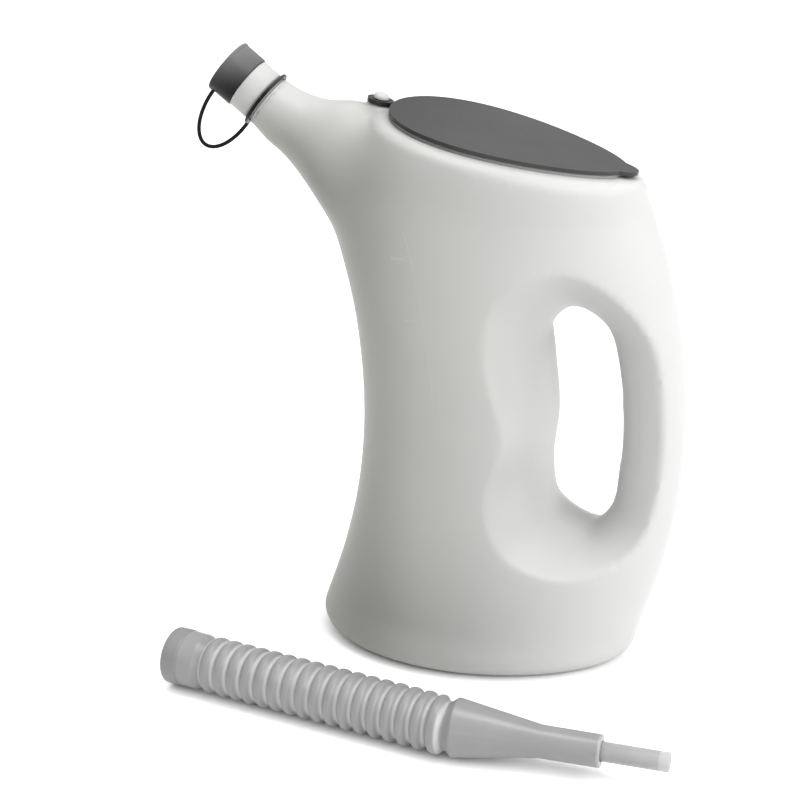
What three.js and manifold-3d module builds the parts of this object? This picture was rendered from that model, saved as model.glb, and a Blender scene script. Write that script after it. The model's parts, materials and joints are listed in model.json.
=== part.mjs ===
// Oil measuring jug: a blow-moulded body with a hollow handle, a lid that swivels on a pin,
// a tethered push-on cap on the pouring neck, and a separate flexible spout lying beside it.
// Millimetres. The origin is the middle of the foot on the table, +Z is up, +X points to the
// handle and -X to the pouring neck. The flexible spout lies on the -Y side.
import * as THREE from "three";
import { LoftGeometry } from "three/addons/geometries/LoftGeometry.js";
import { mergeVertices } from "three/addons/utils/BufferGeometryUtils.js";
import Module from "manifold-3d";

const wasm = await Module();
wasm.setup();

const GAP = 0.3; // clearance between pieces that touch or turn on each other
const WALL = 2; // blow-moulded wall of the jug
const SPOUT_WALL = 1.4; // wall of the flexible spout

// Jug body. Each station is one section: its left and right ends in the mid-plane as [x, z],
// its half depth, how much it narrows from the spout side to the handle side, and how square
// it is, where 2 is an ellipse and more is boxier.
const FOOT_FILLET = 12.5;
const BODY_STATIONS = [
  { left: [-86.2, 12.5], right: [85, 12.5], depth: 54.9, taper: 0.07, square: 1.93 },
  { left: [-73.6, 51], right: [96.5, 52], depth: 52.5, taper: 0.22, square: 2.02 },
  { left: [-64.6, 92], right: [103.1, 90], depth: 50.5, taper: 0.32, square: 2.1 },
  { left: [-61.7, 135], right: [104.7, 132], depth: 50, taper: 0.35, square: 2.1 },
  { left: [-65.1, 178], right: [100.6, 176], depth: 50.8, taper: 0.34, square: 2.1 },
  { left: [-73.5, 215], right: [91.7, 214], depth: 52, taper: 0.3, square: 2.1 },
  { left: [-82, 246], right: [82.3, 241], depth: 53, taper: 0.27, square: 2.1 },
];

// Filler rim and shoulder, in planes parallel to the tilted lid. "below" is measured down
// from the lid's top face along its normal, "along" from the lid's middle towards the handle.
const LID_TILT = THREE.MathUtils.degToRad(12.58);
const LID_CENTRE = new THREE.Vector3(10.35, 0, 275.1);
const LID = { halfLength: 59.9, halfDepth: 46, taper: 0.26, thickness: 1.8 };
const RIM_TOP = LID.thickness + GAP;
const RIM_HEIGHT = 2.6;
const RIM_INSET = 1.6; // the lid overhangs the rim by this much
const RIM_WIDTH = 3;
const LEDGE_WIDTH = 5.5; // flat shoulder outside the rim
const SHOULDER_RADIUS = 6.5;
const SHOULDER_SHIFT = 2; // the shoulder sits this much nearer the handle than the lid

// Lid pivot at the spout end, thumb tab at the handle end.
const PIVOT = { offset: 6.5, earRadius: 6.6, eyeRadius: 2.9, pinRadius: 2.5, headRadius: 3.9 };
const PIVOT_BOSS = { radius: 6.4, holeRadius: 2.8, holeDepth: 7.5, height: 16 };
const PIN_DOME = 3;
const TAB = { length: 5.6, halfWidth: 7.5 };

// Pouring neck. Its axis runs from the outer end of the cap down into the body, in the
// mid-plane. Each station is one section across that axis: how far it reaches below and
// above the axis, and its half width.
const NECK_END = new THREE.Vector3(-134.2, 0, 302.2);
const NECK_ANGLE = THREE.MathUtils.degToRad(38.6);
const CAP = { radius: 14.5, length: 12.8, wall: 1.5 };
const SEAL_THICKNESS = 1.2;
const SEAL_RADIUS = 12.6;
const MOUTH_AT = CAP.wall + SEAL_THICKNESS + 2 * GAP;
const MOUTH_RADIUS = 11.4;
const MOUTH_BORE = 10.1;
const COLLAR_RADIUS = 13.6;
const COLLAR_AT = CAP.length + GAP;
const GROOVE = { from: 23.1, to: 27.3, radius: 12.9 };
const NECK_FLARE = [
  { at: 30, below: 13.9, above: 13.9, half: 13.9 },
  { at: 40, below: 16.4, above: 16.2, half: 16 },
  { at: 50, below: 16.5, above: 20.8, half: 19 },
  { at: 61.5, below: 16.4, above: 29.8, half: 25 },
  { at: 75, below: 17.8, above: 35, half: 33 },
  { at: 94, below: 22, above: 36, half: 37 },
];

// Tether: a ring in the neck's groove and a cord that loops from it to the cap.
const RING = { inner: 13.3, outer: 15.6, width: 1.9 };
const RING_AT = (GROOVE.from + GROOVE.to) / 2;
const LUG = { radius: 17.4, halfWidth: 1.6 };
const STRAP_RADIUS = 1;
const STRAP_DROP = 24.2; // how far the loop hangs out below the cap
const STRAP_STEPS = 22;

// Handle gap: its outline in the mid-plane as [x, z], and how far each point has moved out,
// as [x, z], at FLARE_DEPTH from the mid-plane. The edges flare with the square of the depth.
const FLARE_DEPTH = 45;
const HANDLE_GAP = [
  { at: [72.7, 125], flare: [165, 0] },
  { at: [69.5, 160], flare: [150, 25] },
  { at: [62, 183], flare: [60, 36] },
  { at: [46, 192], flare: [4, 34] },
  { at: [35, 181], flare: [-14, 20] },
  { at: [36.5, 163], flare: [-19, 8] },
  { at: [39.3, 133], flare: [-15, 0] },
  { at: [37.4, 105], flare: [-19, -4] },
  { at: [42, 82], flare: [-14, -11] },
  { at: [57, 73], flare: [8, -21] },
  { at: [68.5, 84], flare: [90, -30] },
  { at: [71.7, 104], flare: [150, -10] },
];
const GAP_LEVELS = [0, 5, 10, 15, 21, 29, 39, 50, 62]; // distances from the mid-plane

// Flexible spout, lying on the table in front of the jug.
const SPOUT_COLLAR = { radius: 14.6, length: 21.5, bore: 12.9 };
const CREST_RADIUS = 14.4;
const VALLEY_RADIUS = 11.9;
const PITCH = 7.83;
const CRESTS_PER_SEGMENT = [3, 3, 3, 3, 3, 2];
const FIRST_CREST = new THREE.Vector3(-115.7, -94.7, SPOUT_COLLAR.radius);
const SPOUT_TURN = THREE.MathUtils.degToRad(-11.43); // direction of the bellows on the table
const NOZZLE_TURN = THREE.MathUtils.degToRad(9.3); // the nozzle is bent back from it
const BEND_WEDGE = THREE.MathUtils.degToRad(6.2); // slant of a segment's end faces
const BORE_RADIUS = VALLEY_RADIUS - SPOUT_WALL;
const NOZZLE = { cone: 41, straight: 29, start: 4.6, radius: 7.85 };
const TIP = { radius: 4.7, bore: 3.5, showing: 32, inside: 14 };

// ---------------------------------------------------------------- finishes
const plastic = (color, roughness) => new THREE.MeshStandardMaterial({ color, roughness, metalness: 0 });
const NATURAL = plastic(0xd4d6d2, 0.38);
const NATURAL_THIN = plastic(0xc6c9c8, 0.32);
const DARK = plastic(0x5f6160, 0.45);

// ---------------------------------------------------------------- solids
const root = new THREE.Group();
root.name = "oil_jug";

/** A closed geometry as a manifold solid, turned right side out where its faces point in. */
function solid(geometry) {
  const bare = geometry.index ? geometry.toNonIndexed() : geometry.clone();
  bare.deleteAttribute("normal");
  bare.deleteAttribute("uv");
  const merged = mergeVertices(bare, 1e-4);
  const vertProperties = merged.attributes.position.array;
  const triVerts = new Uint32Array(merged.index.array);
  const made = new wasm.Manifold(new wasm.Mesh({ numProp: 3, vertProperties, triVerts }));
  if (made.volume() > 0) return made;
  triVerts.reverse();
  return new wasm.Manifold(new wasm.Mesh({ numProp: 3, vertProperties, triVerts }));
}

/** A manifold solid as a geometry. */
function geometryOf(made) {
  const mesh = made.getMesh();
  const geometry = new THREE.BufferGeometry();
  geometry.setAttribute("position", new THREE.BufferAttribute(mesh.vertProperties, 3));
  geometry.setIndex(new THREE.BufferAttribute(mesh.triVerts, 1));
  geometry.computeVertexNormals();
  return geometry;
}

/** Adds one named piece to a group. */
function addPiece(group, name, geometry, material) {
  const mesh = new THREE.Mesh(geometry, material);
  mesh.name = name;
  group.add(mesh);
  return mesh;
}

const loft = (sections) => solid(new LoftGeometry(sections, { capStart: true, capEnd: true }));

/** A turned solid: the profile is [radius, height] pairs, and it turns about the Y axis. */
function turned(profile, sides) {
  return new THREE.LatheGeometry(
    profile.map(([r, h]) => new THREE.Vector2(r, h)),
    sides,
  );
}

/** The same, standing along +Z. */
const turnedUp = (profile, sides) => turned(profile, sides).rotateX(Math.PI / 2);

/** The same, lying along +X. */
const turnedAlong = (profile, sides) => turned(profile, sides).rotateZ(-Math.PI / 2);

// ---------------------------------------------------------------- jug body
/** One point of a rounded section that narrows towards its +1 end. */
function sectionPoint(angle, halfLength, halfDepth, taper, square) {
  const round = (value) => Math.sign(value) * Math.abs(value) ** (2 / square);
  const along = round(Math.cos(angle));
  return [along * halfLength, round(Math.sin(angle)) * halfDepth * (1 - taper * along)];
}

/** A section between two mid-plane ends, drawn in by an inset. */
function sectionBetween(left, right, { depth, taper, square }, inset, sides) {
  const middle = left.clone().add(right).multiplyScalar(0.5);
  const along = right.clone().sub(left);
  const halfLength = along.length() / 2 - inset;
  along.normalize();
  return Array.from({ length: sides }, (_, i) => {
    const angle = (i / sides) * 2 * Math.PI;
    const [u, v] = sectionPoint(angle, halfLength, depth - inset, taper, square);
    return new THREE.Vector3(middle.x + along.x * u, v, middle.z + along.z * u);
  });
}

const inMidPlane = ([x, z]) => new THREE.Vector3(x, 0, z);
const lidAlong = new THREE.Vector3(Math.cos(LID_TILT), 0, -Math.sin(LID_TILT));
const lidNormal = new THREE.Vector3(Math.sin(LID_TILT), 0, Math.cos(LID_TILT));

/** A point in the mid-plane given along the lid and below its top face. */
function byLid(along, below) {
  return LID_CENTRE.clone().addScaledVector(lidAlong, along).addScaledVector(lidNormal, -below);
}

const rimHalfLength = LID.halfLength - RIM_INSET;
const rimHalfDepth = LID.halfDepth - RIM_INSET;

/** A section parallel to the lid. */
function rimSection(grow, below, shift, sides) {
  const half = rimHalfLength + grow;
  const ends = [byLid(shift - half, below), byLid(shift + half, below)];
  const shape = { depth: rimHalfDepth + grow, taper: LID.taper, square: 2 };
  return sectionBetween(ends[0], ends[1], shape, 0, sides);
}

/** The body from the foot to the shoulder, drawn in by an inset on every side. */
function bodySolid(inset, sides, rows) {
  const curveOf = (pick) => new THREE.CatmullRomCurve3(BODY_STATIONS.map(pick));
  const leftEdge = curveOf((s) => inMidPlane(s.left));
  const rightEdge = curveOf((s) => inMidPlane(s.right));
  const shape = curveOf((s) => new THREE.Vector3(s.depth, s.taper, s.square));
  const sections = [];
  const foot = BODY_STATIONS[0];
  const filletSteps = 4;
  for (let i = 0; i < filletSteps; i++) {
    const turn = (i / filletSteps) * (Math.PI / 2);
    const drawIn = FOOT_FILLET * (1 - Math.sin(turn));
    const rise = FOOT_FILLET - (FOOT_FILLET - inset) * Math.cos(turn);
    const ends = [foot.left, foot.right].map(([x]) => new THREE.Vector3(x, 0, rise));
    sections.push(sectionBetween(ends[0], ends[1], foot, Math.max(drawIn, inset), sides));
  }
  for (let i = 0; i <= rows; i++) {
    const t = i / rows;
    const { x: depth, y: taper, z: square } = shape.getPoint(t);
    const ends = [leftEdge.getPoint(t), rightEdge.getPoint(t)];
    sections.push(sectionBetween(ends[0], ends[1], { depth, taper, square }, inset, sides));
  }
  const shoulderTop = RIM_TOP + RIM_HEIGHT + inset;
  const cornerSteps = 3;
  for (let i = 0; i <= cornerSteps; i++) {
    const turn = (i / cornerSteps) * (Math.PI / 2);
    const grow = LEDGE_WIDTH + SHOULDER_RADIUS * Math.cos(turn) - inset;
    const below = shoulderTop + SHOULDER_RADIUS * (1 - Math.sin(turn));
    sections.push(rimSection(grow, below, SHOULDER_SHIFT, sides));
  }
  return loft(sections);
}

/** A straight plug parallel to the lid's normal, with the lid's outline. */
const rimPlug = (grow, from, to, sides) =>
  loft([rimSection(grow, from, 0, sides), rimSection(grow, to, 0, sides)]);

const neckDown = new THREE.Vector3(Math.cos(NECK_ANGLE), 0, -Math.sin(NECK_ANGLE));
const neckUp = new THREE.Vector3(Math.sin(NECK_ANGLE), 0, Math.cos(NECK_ANGLE));

/** A section across the neck's axis. */
function neckSection({ at, below, above, half }, inset, sides) {
  const centre = NECK_END.clone().addScaledVector(neckDown, at);
  return Array.from({ length: sides }, (_, i) => {
    const angle = (i / sides) * 2 * Math.PI;
    const reach = (Math.sin(angle) > 0 ? above : below) - inset;
    const point = centre.clone().addScaledVector(neckUp, Math.sin(angle) * reach);
    point.y = Math.cos(angle) * (half - inset);
    return point;
  });
}

const round = (at, radius) => ({ at, below: radius, above: radius, half: radius });

/** The outside of the pouring neck from its collar down, with the groove of the ring. */
function neckOutside(sides) {
  const stations = [
    round(COLLAR_AT, MOUTH_BORE + WALL),
    round(COLLAR_AT + 0.6, COLLAR_RADIUS),
    round(GROOVE.from - 0.3, COLLAR_RADIUS),
    round(GROOVE.from, GROOVE.radius),
    round(GROOVE.to, GROOVE.radius),
    round(GROOVE.to + 0.5, COLLAR_RADIUS),
    ...NECK_FLARE,
  ];
  return loft(stations.map((s) => neckSection(s, 0, sides)));
}

/** The passage through the neck, open at the mouth. */
function neckPassage(sides) {
  const bore = round(0, MOUTH_BORE + WALL);
  const stations = [bore, { ...bore, at: GROOVE.to }, ...NECK_FLARE];
  return loft(stations.map((s) => neckSection(s, WALL, sides)));
}

/** The cutter of the handle gap, grown by a wall thickness for the inside of the jug. */
function handleCutter(grow, sides) {
  const outline = new THREE.CatmullRomCurve3(HANDLE_GAP.map((p) => inMidPlane(p.at)), true);
  const flare = new THREE.CatmullRomCurve3(HANDLE_GAP.map((p) => inMidPlane(p.flare)), true);
  const level = (y) => {
    const spread = ((Math.abs(y) + grow) / FLARE_DEPTH) ** 2;
    return Array.from({ length: sides }, (_, i) => {
      const t = i / sides;
      const tangent = outline.getTangent(t);
      const point = outline.getPoint(t).addScaledVector(flare.getPoint(t), spread);
      point.x += tangent.z * grow;
      point.z -= tangent.x * grow;
      point.y = y;
      return point;
    });
  };
  const levels = [...GAP_LEVELS.toReversed(), ...GAP_LEVELS.slice(1).map((y) => -y)];
  return loft(levels.map(level));
}

/** The hollow boss that takes the lid's pin. */
function pivotBoss(radius, from, to, sides) {
  const length = to - from;
  const geometry = turnedUp([[0, 0], [radius, 0], [radius, length], [0, length]], sides);
  geometry.rotateY(LID_TILT);
  const foot = byLid(-LID.halfLength - PIVOT.offset, to);
  return solid(geometry.translate(foot.x, foot.y, foot.z));
}

function jugBody() {
  const outside = bodySolid(0, 36, 13)
    .add(neckOutside(20))
    .add(rimPlug(0, RIM_TOP + RIM_HEIGHT + 3, RIM_TOP, 36));
  const inside = bodySolid(WALL, 28, 10)
    .add(neckPassage(16))
    .add(rimPlug(-RIM_WIDTH, RIM_TOP + RIM_HEIGHT + 6, RIM_TOP - 3, 36))
    .subtract(handleCutter(WALL, 26));
  const bossTop = RIM_TOP;
  return outside
    .subtract(handleCutter(0, 30))
    .subtract(inside)
    .add(pivotBoss(PIVOT_BOSS.radius, bossTop, bossTop + PIVOT_BOSS.height, 20))
    .subtract(pivotBoss(PIVOT_BOSS.holeRadius, bossTop - 1, bossTop + PIVOT_BOSS.holeDepth, 16));
}

addPiece(root, "jug_body", geometryOf(jugBody()), NATURAL);

// ---------------------------------------------------------------- lid
// The lid's group has its origin on the pivot, in the plane of the lid's top face.
const lidGroup = new THREE.Group();
const pivotAt = byLid(-LID.halfLength - PIVOT.offset, 0);
lidGroup.position.copy(pivotAt);
lidGroup.rotation.y = LID_TILT;
root.add(lidGroup);

/** A flat plate of the lid's thickness under the top face. */
function lidPlate(shape, curveSegments) {
  const settings = { depth: LID.thickness, bevelEnabled: false, curveSegments };
  return solid(new THREE.ExtrudeGeometry(shape, settings).translate(0, 0, -LID.thickness));
}

function lidSolid() {
  const middle = LID.halfLength + PIVOT.offset;
  const sides = 48;
  const egg = new THREE.Shape(
    Array.from({ length: sides }, (_, i) => {
      const angle = (i / sides) * 2 * Math.PI;
      const [u, v] = sectionPoint(angle, LID.halfLength, LID.halfDepth, LID.taper, 2);
      return new THREE.Vector2(middle + u, v);
    }),
  );
  const ear = new THREE.Shape().absarc(0, 0, PIVOT.earRadius, 0, 2 * Math.PI, false);
  const end = middle + LID.halfLength;
  const tab = new THREE.Shape();
  tab.moveTo(end - 6, -TAB.halfWidth - 5);
  tab.quadraticCurveTo(end + TAB.length, -TAB.halfWidth, end + TAB.length, 0);
  tab.quadraticCurveTo(end + TAB.length, TAB.halfWidth, end - 6, TAB.halfWidth + 5);
  const eye = turnedUp([[0, -5], [PIVOT.eyeRadius, -5], [PIVOT.eyeRadius, 5], [0, 5]], 16);
  return lidPlate(egg, 1).add(lidPlate(ear, 12)).add(lidPlate(tab, 6)).subtract(solid(eye));
}

addPiece(lidGroup, "lid", geometryOf(lidSolid()), DARK);

const pinTail = -RIM_TOP - PIVOT_BOSS.holeDepth + GAP;
addPiece(
  lidGroup,
  "lid_pivot_pin",
  turnedUp(
    [
      [0, pinTail],
      [PIVOT.pinRadius, pinTail],
      [PIVOT.pinRadius, GAP],
      [PIVOT.headRadius, GAP],
      [PIVOT.headRadius, GAP + PIN_DOME * 0.35],
      [PIVOT.headRadius * 0.62, GAP + PIN_DOME * 0.85],
      [0, GAP + PIN_DOME],
    ].map(([r, h]) => [r, -h]).reverse(),
    18,
  ).rotateX(Math.PI),
  NATURAL,
);

// ---------------------------------------------------------------- cap, seal and tether
// The neck's group has its X axis down the neck from the cap's outer end, and Z across it.
const neckGroup = new THREE.Group();
neckGroup.position.copy(NECK_END);
neckGroup.rotation.y = NECK_ANGLE;
root.add(neckGroup);

const capInside = CAP.radius - CAP.wall;
const capEdge = 1;
addPiece(
  neckGroup,
  "pour_cap",
  turnedAlong(
    [
      [0, 0],
      [CAP.radius - capEdge, 0],
      [CAP.radius, capEdge],
      [CAP.radius, CAP.length],
      [capInside, CAP.length],
      [capInside, CAP.wall],
      [0, CAP.wall],
    ],
    28,
  ),
  DARK,
);

// The neck's mouth, under the cap. It is one moulding with the body, and has its own solid so
// that its collision is a plain tube.
addPiece(
  neckGroup,
  "neck_mouth",
  turnedAlong(
    [
      [MOUTH_BORE, MOUTH_AT],
      [MOUTH_RADIUS - 0.6, MOUTH_AT],
      [MOUTH_RADIUS, MOUTH_AT + 0.6],
      [MOUTH_RADIUS, COLLAR_AT - GAP],
      [MOUTH_BORE, COLLAR_AT - GAP],
      [MOUTH_BORE, MOUTH_AT],
    ],
    28,
  ),
  NATURAL,
);

const sealFrom = CAP.wall + GAP;
const sealTo = sealFrom + SEAL_THICKNESS;
addPiece(
  neckGroup,
  "cap_seal",
  turnedAlong([[0, sealFrom], [SEAL_RADIUS, sealFrom], [SEAL_RADIUS, sealTo], [0, sealTo]], 20),
  NATURAL_THIN,
);

/** The tether's ring, with a lug under it for the cord. */
function tetherRing() {
  const half = RING.width / 2;
  const profile = [
    [RING.inner, RING_AT - half],
    [RING.outer - 0.5, RING_AT - half],
    [RING.outer, RING_AT - half + 0.5],
    [RING.outer, RING_AT + half - 0.5],
    [RING.outer - 0.5, RING_AT + half],
    [RING.inner, RING_AT + half],
    [RING.inner, RING_AT - half],
  ];
  const reach = LUG.radius - RING.inner - 0.6;
  const lug = new THREE.BoxGeometry(RING.width, 2 * LUG.halfWidth, reach);
  lug.translate(RING_AT, 0, -LUG.radius + reach / 2);
  return solid(turnedAlong(profile, 28)).add(solid(lug));
}

addPiece(neckGroup, "tether_ring", geometryOf(tetherRing()), DARK);

/** The cord's loop, a half ellipse from the cap's edge round to the ring's lug. */
function strapPath() {
  const capAt = capEdge + 0.6;
  const points = Array.from({ length: STRAP_STEPS + 1 }, (_, i) => {
    const turn = (i / STRAP_STEPS) * Math.PI;
    const share = (1 - Math.cos(turn)) / 2; // 0 at the cap, 1 at the ring
    const along = THREE.MathUtils.lerp(capAt, RING_AT, share);
    const start = THREE.MathUtils.lerp(CAP.radius, LUG.radius, share) + GAP;
    return new THREE.Vector3(along, 0, -start - STRAP_DROP * Math.sin(turn));
  });
  return new THREE.CatmullRomCurve3(points);
}

const cordSection = new THREE.Shape().absarc(0, 0, STRAP_RADIUS, 0, 2 * Math.PI, false);
addPiece(
  neckGroup,
  "cap_strap",
  new THREE.ExtrudeGeometry(cordSection, {
    steps: STRAP_STEPS,
    curveSegments: 4,
    bevelEnabled: false,
    extrudePath: strapPath(),
  }),
  DARK,
);

// ---------------------------------------------------------------- flexible spout
// The spout's group has its X axis along the bellows, with X = 0 at the first crest.
const spoutGroup = new THREE.Group();
spoutGroup.position.copy(FIRST_CREST);
spoutGroup.rotation.z = SPOUT_TURN;
root.add(spoutGroup);

const collarEnd = -PITCH / 2 - GAP / 2;
const collarStart = collarEnd - SPOUT_COLLAR.length;
const stopAt = collarEnd - 3;
addPiece(
  spoutGroup,
  "spout_collar",
  turnedAlong(
    [
      [SPOUT_COLLAR.bore, collarStart],
      [SPOUT_COLLAR.radius - 0.4, collarStart],
      [SPOUT_COLLAR.radius, collarStart + 1],
      [SPOUT_COLLAR.radius - 0.4, stopAt],
      [VALLEY_RADIUS + 0.6, collarEnd],
      [BORE_RADIUS, collarEnd],
      [BORE_RADIUS, stopAt],
      [SPOUT_COLLAR.bore, stopAt],
      [SPOUT_COLLAR.bore, collarStart],
    ],
    24,
  ),
  NATURAL_THIN,
);

/** A prism that gives a bellows segment its slanted ends, so that it has room to bend. */
function bendPrism(from, to, slantFrom, slantTo) {
  const reach = 2 * CREST_RADIUS;
  const wedge = reach * Math.tan(BEND_WEDGE);
  const shape = new THREE.Shape();
  shape.moveTo(from, 0);
  shape.lineTo(from + (slantFrom ? wedge : 0), -reach);
  shape.lineTo(to - (slantTo ? wedge : 0), -reach);
  shape.lineTo(to, 0);
  shape.lineTo(to - (slantTo ? wedge : 0), reach);
  shape.lineTo(from + (slantFrom ? wedge : 0), reach);
  const geometry = new THREE.ExtrudeGeometry(shape, { depth: 2 * reach, bevelEnabled: false });
  return solid(geometry.translate(0, 0, -reach));
}

/** One bellows segment of some crests, from valley to valley. */
function bellowsSegment(firstCrest, crests, slantFrom) {
  const profile = [];
  const start = (firstCrest - 0.5) * PITCH;
  const end = start + crests * PITCH;
  const flank = PITCH * 0.3;
  profile.push([BORE_RADIUS, start], [VALLEY_RADIUS, start]);
  for (let i = 0; i < crests; i++) {
    const crest = (firstCrest + i) * PITCH;
    profile.push([VALLEY_RADIUS, crest - flank * 1.25], [CREST_RADIUS, crest - flank * 0.4]);
    profile.push([CREST_RADIUS, crest + flank * 0.4], [VALLEY_RADIUS, crest + flank * 1.25]);
  }
  profile.push([VALLEY_RADIUS, end], [BORE_RADIUS, end], [BORE_RADIUS, start]);
  const prism = bendPrism(start + GAP / 2, end - GAP / 2, slantFrom, true);
  return solid(turnedAlong(profile, 18)).intersect(prism);
}

let crestCount = 0;
CRESTS_PER_SEGMENT.forEach((crests, i) => {
  const geometry = geometryOf(bellowsSegment(crestCount, crests, i > 0));
  addPiece(spoutGroup, "bellows_" + (i + 1), geometry, NATURAL_THIN);
  crestCount += crests;
});

// The nozzle's group turns about the last valley.
const nozzleGroup = new THREE.Group();
nozzleGroup.position.x = (crestCount - 0.5) * PITCH;
nozzleGroup.rotation.z = NOZZLE_TURN;
spoutGroup.add(nozzleGroup);

const coneEnd = NOZZLE.start + NOZZLE.cone;
const nozzleEnd = coneEnd + NOZZLE.straight;
const socketFrom = nozzleEnd - TIP.inside;
const socketRadius = TIP.radius + GAP;
addPiece(
  nozzleGroup,
  "nozzle_cone",
  turnedAlong(
    [
      [BORE_RADIUS, 1.6],
      [VALLEY_RADIUS, 1.6],
      [CREST_RADIUS - 1, NOZZLE.start - 0.8],
      [CREST_RADIUS, NOZZLE.start],
      [NOZZLE.radius + 0.1, coneEnd],
      [NOZZLE.radius, nozzleEnd],
      [socketRadius, nozzleEnd],
      [socketRadius, socketFrom],
      [TIP.bore, socketFrom],
      [TIP.bore, coneEnd + 2],
      [CREST_RADIUS - 3.4, NOZZLE.start + 2],
      [BORE_RADIUS, 1.6],
    ],
    24,
  ),
  NATURAL_THIN,
);

const tipStart = socketFrom + GAP;
const tipEnd = nozzleEnd + TIP.showing;
addPiece(
  nozzleGroup,
  "tip_tube",
  turnedAlong(
    [
      [TIP.bore, tipStart],
      [TIP.radius, tipStart],
      [TIP.radius, tipEnd],
      [TIP.bore, tipEnd],
      [TIP.bore, tipStart],
    ],
    16,
  ),
  NATURAL_THIN,
);

export default root;
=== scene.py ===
"""Looks of an oil measuring jug with its lid, tethered cap and loose flexible spout.

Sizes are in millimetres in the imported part's own frame and become metres as each mesh is
placed: +Z is up, +X points to the handle and the loose spout lies on the -Y side.
"""
import itertools
import json
import logging
import math
from dataclasses import dataclass
from enum import Enum
from typing import Any, Callable, Sequence

import bmesh
import bpy
from mathutils import Matrix, Vector
from mathutils.bvhtree import BVHTree


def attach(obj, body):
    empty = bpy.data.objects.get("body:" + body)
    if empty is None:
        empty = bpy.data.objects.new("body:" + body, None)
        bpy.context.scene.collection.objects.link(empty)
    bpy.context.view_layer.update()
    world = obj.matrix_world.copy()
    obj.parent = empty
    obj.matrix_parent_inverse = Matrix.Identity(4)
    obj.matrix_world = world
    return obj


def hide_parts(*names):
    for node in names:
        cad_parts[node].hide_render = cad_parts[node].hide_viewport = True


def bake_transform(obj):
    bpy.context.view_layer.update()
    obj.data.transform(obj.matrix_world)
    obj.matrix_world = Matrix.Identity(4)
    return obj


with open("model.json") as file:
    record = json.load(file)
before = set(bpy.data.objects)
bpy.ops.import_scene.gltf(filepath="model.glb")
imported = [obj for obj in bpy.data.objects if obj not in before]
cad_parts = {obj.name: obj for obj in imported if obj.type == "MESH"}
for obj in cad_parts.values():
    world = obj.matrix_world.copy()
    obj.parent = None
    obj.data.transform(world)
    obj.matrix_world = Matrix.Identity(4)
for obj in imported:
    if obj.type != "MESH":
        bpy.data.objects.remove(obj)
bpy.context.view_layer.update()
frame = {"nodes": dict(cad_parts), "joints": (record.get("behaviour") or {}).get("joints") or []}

MM = 0.001
DOUBLES = 1e-4  # millimetres between points that are one point
SHARP_EDGE = math.radians(38)  # a bigger turn between faces shows as an edge
PAINTED_LIGHT_MASK = "painted_light_mask"  # mesh attribute: share of painted light, 1 along the bellows' valleys and at the tip's cut end
LOG = logging.getLogger("oil_jug")

Place = Callable[[float], Vector]  # a turn in radians to a point
Pair = tuple[float, float]


# ---------------------------------------------------------------- curves
def upright(pair: Pair) -> Vector:
    """Returns the point of the jug's mid-plane with that x and z."""
    return Vector((pair[0], 0.0, pair[1]))


@dataclass(frozen=True)
class Spline:
    """A smooth curve through points, at even shares of its length per span."""

    points: tuple[Vector, ...]
    closed: bool = False

    def _corner(self, index: int) -> Vector:
        """Returns a point of the curve, or one carried on past an open end."""
        count = len(self.points)
        if self.closed:
            return self.points[index % count]
        if index < 0:
            return 2 * self.points[0] - self.points[1]
        if index >= count:
            return 2 * self.points[-1] - self.points[-2]
        return self.points[index]

    def at(self, share: float) -> Vector:
        """Finds a point of the curve.

        Args:
            share: how far along it lies, from 0 to 1.

        Returns:
            The point.
        """
        spans = len(self.points) - (0 if self.closed else 1)
        run = min(share * spans, spans - 1e-9)
        first = math.floor(run)
        step = run - first
        before, here, there, after = (self._corner(first + k) for k in (-1, 0, 1, 2))
        gaps = [math.sqrt((b - a).length) for a, b in ((before, here), (here, there), (there, after))]
        leave = (here - before) / gaps[0] - (there - before) / (gaps[0] + gaps[1])
        leave = (leave + (there - here) / gaps[1]) * gaps[1]
        arrive = (there - here) / gaps[1] - (after - here) / (gaps[1] + gaps[2])
        arrive = (arrive + (after - there) / gaps[2]) * gaps[1]
        square = -3 * here + 3 * there - 2 * leave - arrive
        cube = 2 * here - 2 * there + leave + arrive
        return here + leave * step + square * step**2 + cube * step**3

    def along(self, share: float) -> Vector:
        """Returns the curve's direction at a share of it."""
        reach = 1e-4
        low, high = share - reach, share + reach
        if self.closed:
            return (self.at(high % 1) - self.at(low % 1)).normalized()
        return (self.at(high) - self.at(max(low, 0))).normalized()


def smoothstep(low: float, high: float, value: float) -> float:
    """Eases from 0 to 1 between two values.

    Args:
        low: the value where it is still 0.
        high: the value where it is 1; it may be the smaller one.
        value: the value looked at.

    Returns:
        The eased share.
    """
    share = min(max((value - low) / (high - low), 0.0), 1.0)
    return share * share * (3 - 2 * share)


# ---------------------------------------------------------------- mesh moves
def ring(bm: bmesh.types.BMesh, sides: int, place: Place) -> list[bmesh.types.BMEdge]:
    """Adds one closed loop of edges.

    Args:
        bm: the mesh it joins.
        sides: how many edges it has.
        place: gives each corner's point from its turn.

    Returns:
        The loop's edges.
    """
    corners = bmesh.ops.create_circle(bm, cap_ends=False, segments=sides, radius=1.0)["verts"]
    for step, corner in enumerate(corners):
        corner.co = place(math.tau * step / sides)
    return list({edge for corner in corners for edge in corner.link_edges})


def loft(places: Sequence[Place], sides: int) -> bmesh.types.BMesh:
    """Skins a closed solid over a row of loops.

    Args:
        places: one placing function for each loop, from end to end.
        sides: how many edges each loop has.

    Returns:
        The solid, with flat ends.
    """
    bm = bmesh.new()
    rings = [ring(bm, sides, place) for place in places]
    for here, there in itertools.pairwise(rings):
        bmesh.ops.bridge_loops(bm, edges=here + there)
    for end in (rings[0], rings[-1]):
        bmesh.ops.edgeloop_fill(bm, edges=end)
    bmesh.ops.recalc_face_normals(bm, faces=bm.faces[:])
    return bm


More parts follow.
